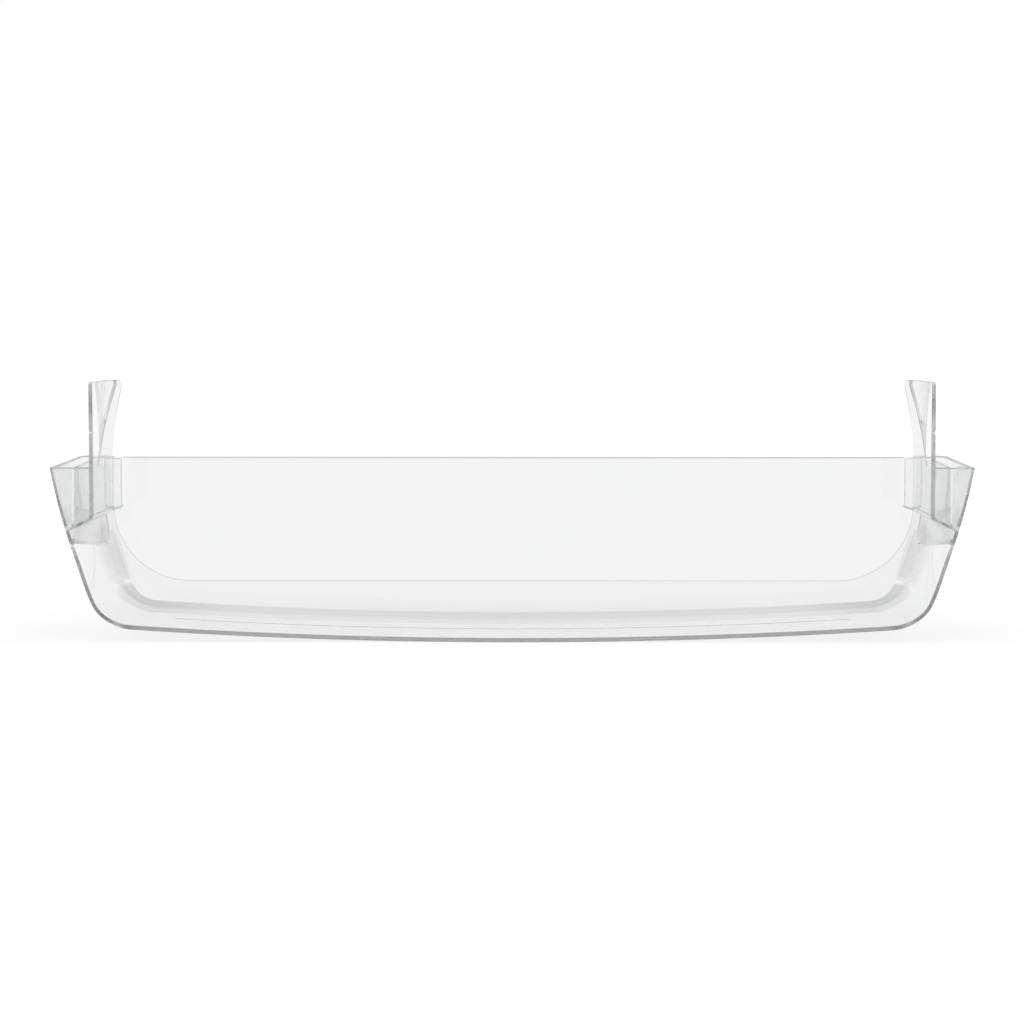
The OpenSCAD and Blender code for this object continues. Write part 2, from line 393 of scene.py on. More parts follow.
def loft(name, rows):
    """A closed solid through loops of points that all have the same length."""
    count = len(rows[0])
    verts = [p for row in rows for p in row]
    faces = [list(range(count)), list(range(len(verts) - 1, len(verts) - count - 1, -1))]
    for r in range(len(rows) - 1):
        for i in range(count):
            j = (i + 1) % count
            a, b = r * count, (r + 1) * count
            faces.append([a + i, a + j, b + j, b + i])
    return mesh_object(name, verts, faces)


def prism(name, outline, lo, hi, axis):
    """A closed block: an outline in X and Z carried along Y, or in Y and Z carried along X."""
    if axis == "Y":
        return loft(name, [[(a, depth, b) for a, b in outline] for depth in (lo, hi)])
    return loft(name, [[(x, a, b) for a, b in outline] for x in (lo, hi)])


def mirrored(obj):
    """A copy of a piece for the left end."""
    copy = obj.copy()
    copy.data = obj.data.copy()
    copy.data.transform(Matrix.Scale(-1, 4, Vector((1, 0, 0))))
    copy.data.flip_normals()
    bpy.context.scene.collection.objects.link(copy)
    return copy


def join_solids(base, others):
    """The union of closed solids as one closed mesh."""
    for other in others:
        union = base.modifiers.new("union", "BOOLEAN")
        union.operation = "UNION"
        union.solver = "MANIFOLD"
        union.object = other
        apply_modifiers(base)
        bpy.data.objects.remove(other)
    return base


def drop_slivers(obj):
    """Removes the edges that are too short to see, which the joins leave behind."""
    bm = bmesh.new()
    bm.from_mesh(obj.data)
    bmesh.ops.dissolve_degenerate(bm, dist=SHORT_EDGE * MM, edges=bm.edges)
    bm.to_mesh(obj.data)
    bm.free()


def blend_radius(column):
    """Outside radius of the long edge at a column: larger up the ends than along the floor."""
    share = smooth(END_STEPS + BEND_STEPS - column, 0, BEND_STEPS)
    return EDGE_R_FLOOR + (EDGE_R_SIDE - EDGE_R_FLOOR) * share


def shell_x(z, inset=0.0):
    """Where the bowed end lies at a height."""
    return BOW_C.x + math.sqrt((SIDE_R - inset) ** 2 - (BOW_C.y - z) ** 2) + belly(z)


def far_wall_x(z):
    """Inner face of the end at the front panel."""
    return FAR_WALL_X - (FAR_WALL_TOP - z) ** 2 / (2 * FAR_WALL_R)


def wall_thickness():
    """Thickness of the shell at each column: thinner beside the pocket than below its ledge."""
    walls = []
    for c, point in enumerate(half_outline([0.0] * COLUMNS, RIM_Z)):
        wall = END_T + (SHELL_T - END_T) * smooth(c, END_STEPS, END_STEPS + BEND_STEPS)
        walls.append(wall + (POCKET_WALL_T - wall) * smooth(point.y, POCKET_LOW, POCKET_FULL))
    return walls


def far_growth(z):
    """How much further in the inner face lies at the front panel than further out."""
    gap = shell_x(z, END_T) - far_wall_x(z)
    lower = smooth(z, GROWTH_LOW, GROWTH_LOW + GROWTH_FADE)
    return max(0.0, gap) * lower * (1 - smooth(z, GROWTH_TOP - GROWTH_FADE, GROWTH_TOP))


def skin_rows(inside):
    """Rows of one skin of the tray, from the door side edge round the long edge."""
    walls = [0.0] * COLUMNS
    growth = [0.0] * COLUMNS
    back = 0.0
    if inside:
        walls = wall_thickness()
        growth = [far_growth(p.y) for p in half_outline([SHELL_T] * COLUMNS, RIM_Z)]
        back = PANEL_T
    rows = []
    for y in WALL_ROWS:
        bead = BEAD_H * smooth(y, 0.0, BEAD_FULL) * (1 - smooth(y, BEAD_FULL, BEAD_END))
        insets = []
        for c in range(COLUMNS):
            share = clamp((c - END_STEPS * BEAD_FROM) / (END_STEPS * BEAD_OVER)) if inside else 0.0
            insets.append(walls[c] + bead * share + growth[c] * smooth(y, GROWTH_Y, DEPTH))
        rows.append([(p.x, y, p.y) for p in half_outline(insets, rim_level(y))])
    for step in range(ARC_STEPS + 1):
        turn = math.pi / 2 * step / ARC_STEPS
        insets, depths = [], []
        for c in range(COLUMNS):
            outer = blend_radius(c)
            depths.append(DEPTH - outer + (outer - back) * math.sin(turn))
            inset = outer - (outer - walls[c]) * math.cos(turn)
            insets.append(inset + growth[c] * smooth(depths[-1], GROWTH_Y, DEPTH))
        points = half_outline(insets, rim_level(depths[0]))
        rows.append([(p.x, y, p.y) for p, y in zip(points, depths)])
    return rows


def top_level(x):
    """Height of the panel's top edge, a little higher beyond the inner end walls."""
    share = clamp((x - INNER_WALL_X + PANEL_STEP) / (2 * PANEL_STEP))
    return PANEL_Z + (TRAY_TOP - PANEL_Z) * share


def panel_rows(last, inside):
    """Rows of one skin from the long edge up to the panel's straight top edge."""
    y = DEPTH - PANEL_T if inside else DEPTH
    return [[(x, y, z + (top_level(x) - z) * share) for x, _, z in last] for share in PANEL_ROWS]


def tray_body():
    """The tray as one closed mesh: an outer and an inner skin, and the rims between them."""
    skins = []
    for inside in (False, True):
        rows = skin_rows(inside)
        rows += panel_rows(rows[-1], inside)
        skins.append([row + [(-x, y, z) for x, y, z in reversed(row[:-1])] for row in rows])
    outer, inner = skins
    verts, index, faces = [], {}, []

    def vert(point):
        key = tuple(round(v, SAME_POINT_DIGITS) for v in point)
        if key not in index:
            index[key] = len(verts)
            verts.append(point)
        return index[key]

    def add_face(*corners):
        ids = [vert(p) for p in corners]
        kept = [v for i, v in enumerate(ids) if v != ids[i - 1]]
        if len(kept) > 2:
            faces.append(kept)

    for skin in skins:
        for row, above in zip(skin, skin[1:]):
            for c in range(len(row) - 1):
                add_face(row[c], row[c + 1], above[c + 1], above[c])
    rims = [list(zip(outer[r], inner[r])) for r in (0, -1)]
    rims += [[(a[c], b[c]) for a, b in zip(outer, inner)] for c in (0, -1)]
    for rim in rims:
        for a, b in zip(rim, rim[1:]):
            add_face(a[0], b[0], b[1], a[1])
    return mesh_object("tray", verts, faces)


def on_circle(centre, radius, turn):
    """Point on a circle, in a direction in degrees above +X."""
    t = math.radians(turn)
    return (centre[0] + radius * math.cos(t), centre[1] + radius * math.sin(t))


def arc(centre, radius, start, stop, steps):
    """Points on a circle, between two directions in degrees above +X."""
    return [on_circle(centre, radius, start + (stop - start) * i / steps) for i in range(steps + 1)]


def ledge_z(x):
    """Height of the middle of the ledge."""
    return LEDGE_P.y - (x - LEDGE_P.x) * math.tan(LEDGE_FALL)


def wing_in(z):
    """How far the wing stands in from the blade at a height; its top corner curls back."""
    share = clamp((z - WING_FOOT_Z) / (EAR_Z - WING_FOOT_Z))
    curl = max(0.0, (z - EAR_Z + CURL_H) / CURL_H)
    return LEAN_IN * share ** WING_POWER - CURL * curl * curl


def rib_y(z):
    """Distance of the ear's rib from the door side at a height."""
    for (y0, z0), (y1, z1) in zip(RIB_LINE, RIB_LINE[1:]):
        if z <= z1:
            break
    return y0 + (y1 - y0) * (z - z0) / (z1 - z0)


def inner_wall_x(y, z):
    """Inner face of the inner end wall: upright at the door side, bowed at the front panel."""
    near = NEAR_WALL_X + (NEAR_FOOT_X - NEAR_WALL_X) * (RIM_Z - z) / (RIM_Z - NEAR_FOOT_Z)
    return near + (far_wall_x(z) - near) * y / DEPTH


def inner_wall_z(y, share):
    """Height on the inner end wall at a share of the way from its foot to the rim."""
    foot = NEAR_FOOT_Z + (FAR_FOOT_Z - NEAR_FOOT_Z) * y / DEPTH
    return foot + (rim_level(y) - foot) * share


def inner_wall():
    """The inner end wall with the round inside edge where it meets the front panel."""
    face_y = DEPTH - PANEL_T
    round_y = face_y - FILLET_R
    depths = [INNER_START + (face_y - INNER_START) * i / INNER_DEPTHS for i in range(INNER_DEPTHS)]
    shares = [0.0, INNER_FOOT_SHARE, 2 * INNER_FOOT_SHARE]
    shares += [i / INNER_LEVELS for i in range(1, INNER_LEVELS)] + [INNER_TOP_SHARE, 1.0]
    rows = []
    for share in shares:
        row = []
        for y in depths:
            z = inner_wall_z(y, share)
            if y < round_y:
                row.append((inner_wall_x(y, z), y, z))
        for i in range(FILLET_STEPS + 1):
            turn = math.pi / 2 * i / FILLET_STEPS
            y = round_y + FILLET_R * math.sin(turn)
            z = inner_wall_z(y, share)
            row.append((inner_wall_x(y, z) - FILLET_R * (1 - math.cos(turn)), y, z))
        x, y, z = row[-1]
        row.append((x, face_y + LAP, z))
        for y in (face_y + LAP, INNER_START):
            z = inner_wall_z(y, share)
            x = inner_wall_x(y, z) + INNER_WALL_T
            if share <= INNER_FOOT_SHARE:
                x = max(x, shell_x(z, END_T) + LAP)
            row.append((x, y, z))
        rows.append(row)
    return loft("inner_wall", rows)


def pocket_cover():
    """The wall that closes the pocket on the door side, a little back from the edges around it."""
    low = ledge_z(shell_x(LEDGE_MEET_Z, LAP))
    outline = [(BLADE_X, LEDGE_C.y), (LEDGE_P.x, LEDGE_P.y)]
    for i in range(COVER_STEPS + 1):
        z = low + (RIM_Z - low) * i / COVER_STEPS
        outline.append((shell_x(z, LAP), z))
    outline.append((BLADE_X, RIM_Z))
    cover = prism("pocket_cover", outline, COVER_IN, COVER_IN + COVER_T, "Y")
    for vert in cover.data.vertices:
        at_top = vert.co.z > (RIM_Z - TOUCH) * MM
        if at_top and vert.co.y < (COVER_IN + TOUCH - DEPTH / 2) * MM:
            vert.co.z -= COVER_DROP * MM
    return cover


def ledge():
    """The bend of the blade's foot and the sloping ledge to the shell."""
    upper, lower = [], []
    for i in range(LEDGE_STEPS + 1):
        half = (BLADE_T + (LEDGE_T - BLADE_T) * i / LEDGE_STEPS) / 2
        turn = 180 + (90 - math.degrees(LEDGE_FALL)) * i / LEDGE_STEPS
        upper.append(on_circle(LEDGE_C, LEDGE_R - half, turn))
        lower.append(on_circle(LEDGE_C, LEDGE_R + half, turn))
    half = LEDGE_T / 2 / math.cos(LEDGE_FALL)
    far_x = shell_x(ledge_z(HALF_W - LEDGE_END_IN), SHELL_T / 2)
    outline = upper + [(far_x, ledge_z(far_x) + half), (far_x, ledge_z(far_x) - half)]
    outline += list(reversed(lower))
    return prism("ledge", outline, 0.0, BLADE_D, "Y")


def flange():
    """The plate that turns in from the far edge of the blade, with its foot."""
    top = TRAY_TOP - FLANGE_DROP
    rise = FLANGE_LIFT / (FLANGE_W + FLANGE_OUT)
    outer = (BLADE_X + FLANGE_OUT, FOOT_Z)
    inner = (BLADE_X - FLANGE_W, FOOT_Z + FLANGE_LIFT)
    edge = (BLADE_X + FLANGE_LAP, FOOT_Z + (FLANGE_OUT - FLANGE_LAP) * rise)
    outline = [edge, (edge[0], top), (inner[0], top), inner]
    plate = prism("flange", outline, BLADE_D - FLANGE_T, BLADE_D, "Y")
    round_edges(plate, FLANGE_ROUND)
    outline = [outer, (outer[0], outer[1] + FOOT_T), (inner[0], inner[1] + FOOT_T), inner]
    foot = prism("foot", outline, BLADE_D - FLANGE_T / 2, BLADE_D + FOOT_D, "Y")
    round_edges(foot, FLANGE_ROUND)
    mark(foot, FOOT, foot_side)
    return join_solids(plate, [foot])


def blade_half(y):
    """Half the thickness of the plate, which thins towards its far edge."""
    return BLADE_T / 2 * (1 - BLADE_TAPER * clamp(y / BLADE_D))


def taper_blade(plate):
    """Thins a plate towards its far edge."""
    for vert in plate.data.vertices:
        y = vert.co.y / MM + DEPTH / 2
        vert.co.x = (BLADE_X + (vert.co.x / MM - BLADE_X) * blade_half(y) / (BLADE_T / 2)) * MM


def blade_plate(name, outline):
    """A rounded plate in the blade's plane, from its outline in Y and Z."""
    plate = prism(name, outline, BLADE_X - BLADE_T / 2, BLADE_X + BLADE_T / 2, "X")
    taper_blade(plate)
    round_edges(plate, BLADE_ROUND)
    return plate


def blade_low():
    """The upright plate beside the pocket."""
    foot, top = LEDGE_C.y - TOUCH, RIM_Z + 2 * LAP
    return blade_plate("blade_low", [(0.0, foot), (BLADE_D, foot), (BLADE_D, top), (0.0, top)])


def blade():
    """The plate above the rim: the door side part of the ear."""
    outline = [(0.0, RIM_Z - LAP), (BLADE_D, RIM_Z - LAP), (BLADE_D, WING_FOOT_Z)]
    for i in range(BLADE_LEVELS + 1):
        z = WING_FOOT_Z + (EAR_Z - WING_FOOT_Z) * i / BLADE_LEVELS
        outline.append((rib_y(z), z))
    outline += arc((EAR_NEAR_R, EAR_Z - EAR_NEAR_R), EAR_NEAR_R, 90, 180, NEAR_CORNER_STEPS)
    high, low = NOTCH_Z + NOTCH_H / 2, NOTCH_Z - NOTCH_H / 2
    outline += [(0.0, high), (NOTCH_D, high - NOTCH_SLOPE), (NOTCH_D, low + NOTCH_SLOPE), (0.0, low)]
    return blade_plate("blade", outline)


def ear_cap():
    """The thickened top edge of the ear's door side part."""
    far = rib_y(EAR_Z) + CAP_LAP
    low = EAR_Z - CAP_H
    outline = [(EAR_NEAR_R, low), (far, low), (far, EAR_Z), (EAR_NEAR_R, EAR_Z)]
    left, right = BLADE_X - BLADE_T / 2 - CAP_OUT, BLADE_X + BLADE_T / 2 + CAP_OUT
    cap = prism("ear_cap", outline, left, right, "X")
    taper_blade(cap)
    return cap


def web_cap():
    """The thickened top edge of the wall between the ear's two parts."""
    x0 = BLADE_X - BLADE_T / 2 - wing_in(EAR_Z) - WEB_CAP_IN
    outline = [(x0, EAR_Z - CAP_H), (x0, EAR_Z), (BLADE_X, EAR_Z), (BLADE_X, EAR_Z - CAP_H)]
    y = rib_y(EAR_Z)
    return prism("web_cap", outline, y - WEB_T / 2 - WEB_CAP_OUT, y + WEB_T / 2 + WEB_CAP_OUT, "Y")


def corner_bead():
    """The rounded corner where the plate meets the flange."""
    x = BLADE_X + blade_half(BLADE_D)
    x0, x1 = x - CORNER_BEAD_LAP, x + CORNER_BEAD_OUT
    low, high = FOOT_Z + CORNER_BEAD_LIFT, TRAY_TOP - FLANGE_DROP
    outline = [(x0, low), (x0, high), (x1, high), (x1, low)]
    return prism("corner_bead", outline, BLADE_D - CORNER_BEAD_NEAR, BLADE_D - CORNER_BEAD_FAR, "Y")


def wing_far(z):
    """Distance of the wing's far edge from the door side at a height."""
    over = z - (EAR_Z - EAR_FAR_R)
    if over <= 0:
        return BLADE_D
    return BLADE_D - EAR_FAR_R + math.sqrt(max(0.0, EAR_FAR_R ** 2 - over ** 2))


def wing():
    """The ear beyond its rib, which leans in from the blade on a slow curve."""
    foot = WING_FOOT_Z - WING_SUNK
    bend = EAR_Z - CURL_H
    levels = [foot + (bend - foot) * i / WING_LEVELS for i in range(WING_LEVELS)]
    levels += [bend + CURL_H * i / CURL_LEVELS for i in range(CURL_LEVELS + 1)]
    rows = []
    for z in levels:
        far = wing_far(z)
        x = BLADE_X - wing_in(z)
        near = rib_y(z) - WING_LAP
        stops = [near + (far - near) * j / WING_STOPS for j in range(WING_STOPS)]
        stops = sorted(stops + [far - WING_STRIP, far])
        loop = [(x - blade_half(y), y, z) for y in stops]
        loop += [(x + blade_half(y), y, z) for y in reversed(stops)]
        rows.append(loop)
    plate = loft("wing", rows)
    round_edges(plate, BLADE_ROUND)
    return plate


def ear_web():
    """The wall that bridges the step between the plate and the wing."""
    rows = []
    for i in range(RIB_LEVELS + 1):
        z = RIM_Z + (EAR_Z - WEB_DROP - RIM_Z) * i / RIB_LEVELS
        y = rib_y(z)
        y0, y1 = y - WEB_T / 2, y + WEB_T / 2
        x0 = BLADE_X - blade_half(y) - wing_in(z) + WEB_IN
        x1 = BLADE_X + blade_half(y) - WEB_OUT
        rows.append([(x0, y0, z), (x1, y0, z), (x1, y1, z), (x0, y1, z)])
    return loft("ear_web", rows)


def ear_rib():
    """The bead that runs down the inner face where the plate steps to the wing."""
    rows = []
    half = RIB_T / 2 * RIB_SLANT
    for i in range(RIB_LEVELS + 1):
        z = RIM_Z + (EAR_Z - RIM_Z) * i / RIB_LEVELS
        y = rib_y(z)
        x1 = BLADE_X - blade_half(y) - wing_in(z) + RIB_LAP
        x0 = x1 - RIB_LAP - RIB_H
        rows.append([(x0, y - half, z), (x1, y - half, z), (x1, y + half, z), (x0, y + half, z)])
    rib = loft("ear_rib", rows)
    round_edges(rib, RIB_ROUND)
    return rib


def window_outline(out):
    """The window's outline in X and Z, moved out by a distance."""
    foot = (WINDOW_X - WINDOW_R, WINDOW_Z + WINDOW_R)
    half = [(WINDOW_X + out, PANEL_Z - WINDOW_DROP)]
    half += arc(foot, WINDOW_R + out, 0, -90, WINDOW_STEPS)
    return half + [(-x, z) for x, z in reversed(half)]


def window():
    """The raised window on the inside of the front panel, with a sloping border."""
    face_y = DEPTH - PANEL_T
    rows = []
    for out, y in ((0.0, face_y - WINDOW_STEP), (WINDOW_SLOPE, face_y), (WINDOW_SLOPE, face_y + LAP)):
        rows.append([(x, y, z) for x, z in window_outline(out)])
    return loft("window", rows)


def floor_ridge():
    """The low ridge that follows the crown of the floor."""
    reach = math.asin((HALF_W - RIDGE_IN) / FLOOR_R)
    section = ((-RIDGE_W / 2, -LAP), (RIDGE_W / 2, -LAP), (RIDGE_W / 2, RIDGE_H),
               (-RIDGE_W / 2, RIDGE_H))
    rows = []
    for i in range(-RIDGE_STEPS, RIDGE_STEPS + 1):
        turn = math.pi / 2 + reach * i / RIDGE_STEPS
        loop = []
        for across, up in section:
            p = CROWN_C + (FLOOR_R - SHELL_T - up) * way(turn)
            loop.append((p.x, RIDGE_Y + across, p.y))
        rows.append(loop)
    ridge = loft("floor_ridge", rows)
    round_edges(ridge, RIDGE_ROUND)
    return ridge


# Limits of the zones: how squarely a face looks along the depth, and which places count.
# Places across and along the depth are taken from the shelf's middle.
DOOR_Y = -DEPTH / 2
PANEL_Y = DEPTH / 2
TILT_SLIGHT = 0.1
TILT = 0.3
TILT_HALF = 0.7
SQUARE = 0.9
FLAT = 0.95
DEAD_FLAT = 0.999
TURN_LOW = 0.12
TURN_HIGH = 0.985
EDGE_REACH = 0.3
BEVEL_REACH = 1.0
PANEL_REACH = 0.2
BREAK_Z = 22.8
CORNER_IN = 207.0
END_ROUND_TOP = FAR_FOOT_Z + 9.0
INNER_ROUND_IN = 10.0
POCKET_EDGE_Z = LEDGE_Z - 4.0
FLOOR_EDGE_Z = 14.0
WING_STRIP = 4.0
WING_EDGE_W = 1.0
WING_TOP_H = 0.6
EDGE_DARK_Z = 106.0
RIM_TOP_H = 0.9
RIM_TOP_SIDE_H = 0.7
RIM_TOP_OVER = 0.3
RIM_TOP_PANEL = 4.0
RIM_TOP_GAP = 2.0


def near_edge(centre, normal):
    """True for a face that looks out of the door side."""
    return normal.y < -SQUARE and centre.y < DOOR_Y + EDGE_REACH


def pocket_edge(centre, normal):
    """True for the tray's door side edge beside the pocket."""
    return near_edge(centre, normal) and centre.z > POCKET_EDGE_Z


def floor_edge(centre, normal):
    """True for the tray's door side edge below the floor and the corner."""
    return near_edge(centre, normal) and centre.z < FLOOR_EDGE_Z


def inner_bevel(centre, normal):
    """True for the rounding between the door side edge and the inside of the shell."""
    inward = normal.z - math.copysign(normal.x, centre.x * normal.x)
    tilted = -SQUARE < normal.y < -TILT_SLIGHT and inward > TILT
    return tilted and centre.y < DOOR_Y + BEVEL_REACH


def rounded(normal):
    """True for a face that turns between the depth and the other directions."""
    return TURN_LOW < abs(normal.y) < TURN_HIGH


def long_round(centre, normal):
    """True for the faces of the long rounded edge between the panel and the shell."""
    return rounded(normal) and centre.y > PANEL_Y - EDGE_R_SIDE


def low_round(centre, normal):
    """True for the long rounded edge along the floor and round the corners."""
    return long_round(centre, normal) and centre.z < BREAK_Z


def corner_round(centre, normal):
    """True for the long rounded edge where it goes round a corner."""
    return low_round(centre, normal) and abs(centre.x) > CORNER_IN


def end_round(centre, normal):
    """True for the long rounded edge up an end, as far as the inner end wall."""
    return long_round(centre, normal) and BREAK_Z < centre.z < END_ROUND_TOP


def panel_inside(centre, normal):
    """True for the inner face of the panel, around its window."""
    return normal.y < -FLAT and centre.y > PANEL_Y - PANEL_T - PANEL_REACH


def inner_round(centre, normal):
    """True for the round inside edge of the inner wall."""
    return rounded(normal) and centre.y > PANEL_Y - INNER_ROUND_IN


def inner_round_high(centre, normal):
    """True for the inner wall's round inside edge behind the flange."""
    return inner_round(centre, normal) and centre.z > FOOT_Z


def inner_round_low(centre, normal):
    """True for the inner wall's round inside edge below the flange."""
    return inner_round(centre, normal) and centre.z < FOOT_Z


def foot_side(centre, normal):
    """True for the foot's faces other than its two ends."""
    return abs(normal.x) < TILT_HALF


def flange_rounding(centre, normal):
    """True for the rounded edges of the flange and of its foot."""
    return TILT < abs(normal.y) < FLAT


def blade_edge(centre, normal):
    """True for the door side edge of the plate, but for the notch."""
    near = normal.y < -TILT and centre.y < DOOR_Y + BEVEL_REACH
    return near and abs(centre.z - NOTCH_Z) > NOTCH_H


def wing_edge(centre, normal):
    """True for the strip along the far edge of the wing, and for its top."""
    strip = WING_STRIP if EDGE_DARK_Z < centre.z < EAR_Z - CURL_H else WING_EDGE_W
    return centre.y - DOOR_Y > wing_far(centre.z) - strip or centre.z > EAR_Z - WING_TOP_H


def rim_top(centre, normal):
    """True for the top edges of the tray and of the pocket, away from the blades."""
    top = rim_level(centre.y - DOOR_Y)
    if centre.y > PANEL_Y - RIM_TOP_PANEL:
        top = top_level(abs(centre.x))
    height = RIM_TOP_H if normal.z > TILT else RIM_TOP_SIDE_H
    at_top = top - height < centre.z < top + RIM_TOP_OVER
    return at_top and abs(abs(centre.x) - BLADE_X) > RIM_TOP_GAP


def not_flat(centre, normal):
    """True for a face that doesn't look straight along the depth."""
    return abs(normal.y) < DEAD_FLAT


tray = tray_body()
mark(tray, FACE)
round_edges(tray, TRAY_ROUND)
for zone, where in ((FLOOR_ROUND, low_round), (CORNER_ROUND, corner_round), (END_ROUND, end_round),
                    (AROUND, panel_inside), (FACE, inner_bevel), (SHELL_EDGE, near_edge),
                    (RIM_EDGE, pocket_edge), (FLOOR_EDGE, floor_edge)):
    mark(tray, zone, where)

parts = []
for piece, edge_zone in ((window(), WINDOW_EDGE), (floor_ridge(), RIDGE)):
    mark(piece, edge_zone, not_flat)
    parts.append(piece)
wall = inner_wall()
# Painted light on the inner wall's round inside edge behind the flange
mark(wall, PAINTED_BRIGHT, inner_round_high)

# The pieces of an end, each with its plain zone, and the zone of the faces that a test picks.
# Without a test the second zone covers the whole piece.
for piece, face_zone, edge_zone, where in (
        (wall, INNER_WALL, INNER_ROUND, inner_round_low),
        (pocket_cover(), FACE, FACE, None),
        (ledge(), LEDGE_FACE, LEDGE_EDGE, near_edge),
        (flange(), PAINTED_BRIGHT, FOOT, flange_rounding),
        (blade_low(), BLADE_FACE, BLADE_EDGE, blade_edge),
        (corner_bead(), RIB, RIB, None),
        (blade(), EAR_FACE, BLADE_EDGE, blade_edge),
        (ear_cap(), RIB, RIB, None),
        (web_cap(), RIB, RIB, None),
        (wing(), BLADE_FACE, WING_EDGE, wing_edge),
        (ear_web(), EAR_FACE, EAR_FACE, None),
        (ear_rib(), RIB, RIB, None)):
    mark_unmarked(piece, face_zone)
    mark(piece, edge_zone, where)
    parts += [piece, mirrored(piece)]
shelf = join_solids(tray, parts)
drop_slivers(shelf)
mark(shelf, RIM_TOP, rim_top)

# The clear plastic's colour, and the darker colour painted on its edges and some faces as shade
CLEAR_COLOUR = (0.935, 0.938, 0.94, 1)
PAINTED_EDGE_SHADE = (0.35, 0.355, 0.36, 1)

# Painted shade or light of each zone, from the darker edge colour at 0 to the clear colour at 1, and
# its haze
ZONE_LOOK = {
    FACE: (1.0, 0.05),
    EDGE: (0.45, 0.1),
    END_ROUND: (0.62, 0.08),
    CORNER_ROUND: (0.52, 0.08),
    FLOOR_ROUND: (0.77, 0.08),
    RIM_EDGE: (1.0, 0.05),
    RIM_TOP: (0.36, 0.1),
    SHELL_EDGE: (1.0, 0.2),
    FLOOR_EDGE: (0.45, 0.2),
    BLADE_FACE: (0.8, 0.05),
    EAR_FACE: (0.95, 0.05),
    BLADE_EDGE: (0.06, 0.2),
    WING_EDGE: (0.12, 0.1),
    RIB: (0.45, 0.1),
    LEDGE_FACE: (0.75, 0.1),
    LEDGE_EDGE: (1.0, 0.2),
    RIDGE: (1.0, 0.05),
    WINDOW_EDGE: (0.4, 0.1),
    AROUND: (0.88, 0.05),
    INNER_WALL: (0.78, 0.05),
    INNER_ROUND: (0.72, 0.08),
    # Painted light: a level above 1 makes these faces lighter than the clear colour
    PAINTED_BRIGHT: (1.1, 0.05),
    FOOT: (0.3, 0.1),
}

# Lengths over which some painted shades fade, and the level at the break in the long round low on the
# ends, where its painted shade lifts
BAND_FADE = 60.0
BREAK_REACH = 2.6
BREAK_PAINTED_SHADING = 1.0
LEDGE_FADE = 6.0
EDGE_FADE = 16.0

SHARP_ANGLE = math.radians(28)
LARGE_FACE_WEIGHT = 60


def finish_shading(obj):
    """Smooth shading that keeps the real corners, with normals led by the larger faces."""
    obj.data.shade_smooth()
    obj.data.set_sharp_from_angle(angle=SHARP_ANGLE)
    weight = obj.modifiers.new("normals", "WEIGHTED_NORMAL")
    weight.keep_sharp = True
    weight.weight = LARGE_FACE_WEIGHT
    apply_modifiers(obj)


def graded_painted_shading(zone, place):
    """Painted shade or light of a zone at a place in millimetres. Some zones fade into another
    painted shade or light.
    """
    painted_shading, _ = ZONE_LOOK[zone]
    other, fade = painted_shading, 0.0
    if zone == FLOOR_ROUND:
        other, _ = ZONE_LOOK[CORNER_ROUND]
        fade = 1 - smooth(CORNER_IN - abs(place.x), 0.0, BAND_FADE)
    elif zone in (END_ROUND, CORNER_ROUND):
        other = BREAK_PAINTED_SHADING
        fade = 1 - smooth(abs(place.z - BREAK_Z), 0.0, BREAK_REACH)
    elif zone == LEDGE_EDGE:
        other, _ = ZONE_LOOK[BLADE_EDGE]
        fade = 1 - smooth(abs(place.x), LEDGE_P.x, LEDGE_P.x + LEDGE_FADE)
    elif zone == WING_EDGE:
        other, _ = ZONE_LOOK[BLADE_FACE]
        fade = 1 - smooth(place.z, EDGE_DARK_Z, EDGE_DARK_Z + EDGE_FADE)
    return painted_shading + (other - painted_shading) * fade


def finish_zones(obj):
    """Turns the zones into the painted shade and light and the haze that the material reads."""
    layer = zone_layer(obj)
    painted_shading = obj.data.attributes.new("painted_shading", "FLOAT", "CORNER")
    haze = obj.data.attributes.new("haze", "FLOAT", "CORNER")
    for face in obj.data.polygons:
        zone = layer.data[face.index].value
        for corner in face.loop_indices:
            place = obj.data.vertices[obj.data.loops[corner].vertex_index].co / MM
            painted_shading.data[corner].value = graded_painted_shading(zone, place)
            haze.data[corner].value = ZONE_LOOK[zone][1]
    obj.data.attributes.remove(zone_layer(obj))


finish_shading(shelf)
finish_zones(shelf)
shelf.name = "shelf_body"
shelf.data.name = "shelf_body"
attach(shelf, "root")
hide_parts(NODE)


def set_input(tree, socket, value):
    """Gives a socket a number, or links it to another node's output."""
    if isinstance(value, (int, float)):
        socket.default_value = value
    else:
        tree.links.new(value, socket)


def math_node(tree, kind, *values):
    node = tree.nodes.new("ShaderNodeMath")
    node.operation = kind
    for value, socket in zip(values, node.inputs):
        set_input(tree, socket, value)
    return node.outputs[0]


def ramp_node(tree, value, start, stop, low, high, soft=True):
    """Takes a value from one range to another, with soft ends or straight."""
    node = tree.nodes.new("ShaderNodeMapRange")
    node.interpolation_type = "SMOOTHSTEP" if soft else "LINEAR"
    node.inputs["From Min"].default_value = start
    node.inputs["From Max"].default_value = stop
    set_input(tree, node.inputs["To Min"], low)
    set_input(tree, node.inputs["To Max"], high)
    tree.links.new(value, node.inputs["Value"])
    return node.outputs["Result"]


def noise_node(tree, place, scale, detail):
    node = tree.nodes.new("ShaderNodeTexNoise")
    node.inputs["Scale"].default_value = scale
    node.inputs["Detail"].default_value = detail
    tree.links.new(place, node.inputs["Vector"])
    return node.outputs["Fac"]


def attribute_node(tree, name):
    node = tree.nodes.new("ShaderNodeAttribute")
    node.attribute_name = name
    return node.outputs["Fac"]


